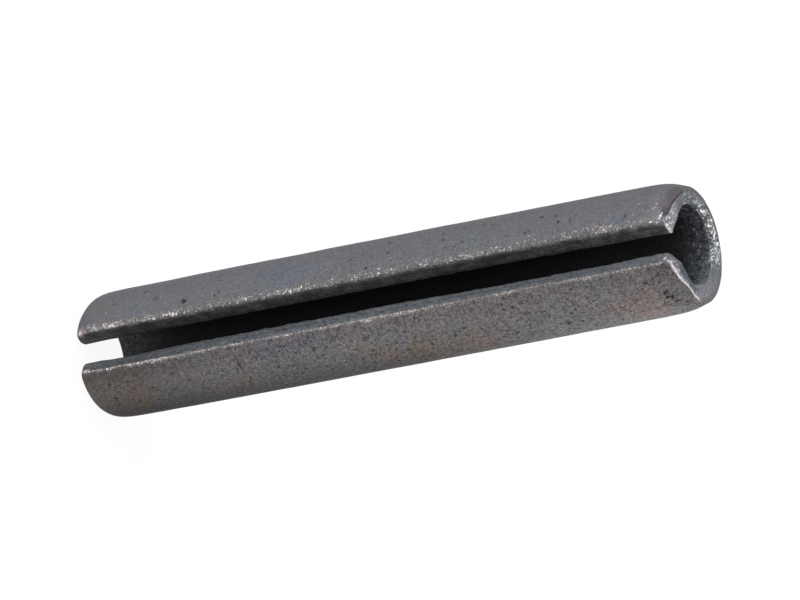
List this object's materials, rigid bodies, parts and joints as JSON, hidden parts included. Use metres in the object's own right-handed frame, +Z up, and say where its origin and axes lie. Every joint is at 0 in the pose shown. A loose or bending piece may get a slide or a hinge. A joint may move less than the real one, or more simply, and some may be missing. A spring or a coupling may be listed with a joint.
{
  "type": "slotted spring pin",
  "caption": "Slotted spring pin: steel strip rolled to a C section, open along one side, with both ends swaged in so that it can be driven into a plain hole.",
  "frame": {"origin": "centre of the lower end face, on the pin's axis; the pin stands on that end", "axes": "+Z up along the pin's axis, slot opening towards -Y"},
  "size_m": [0.0126, 0.0122, 0.065],
  "materials": {
    "steel": "dark oxide scale, matte, worn bright along the slot's edges"
  },
  "bodies": {
    "root": {"spring_pin": "steel"}
  },
  "joints": []
}
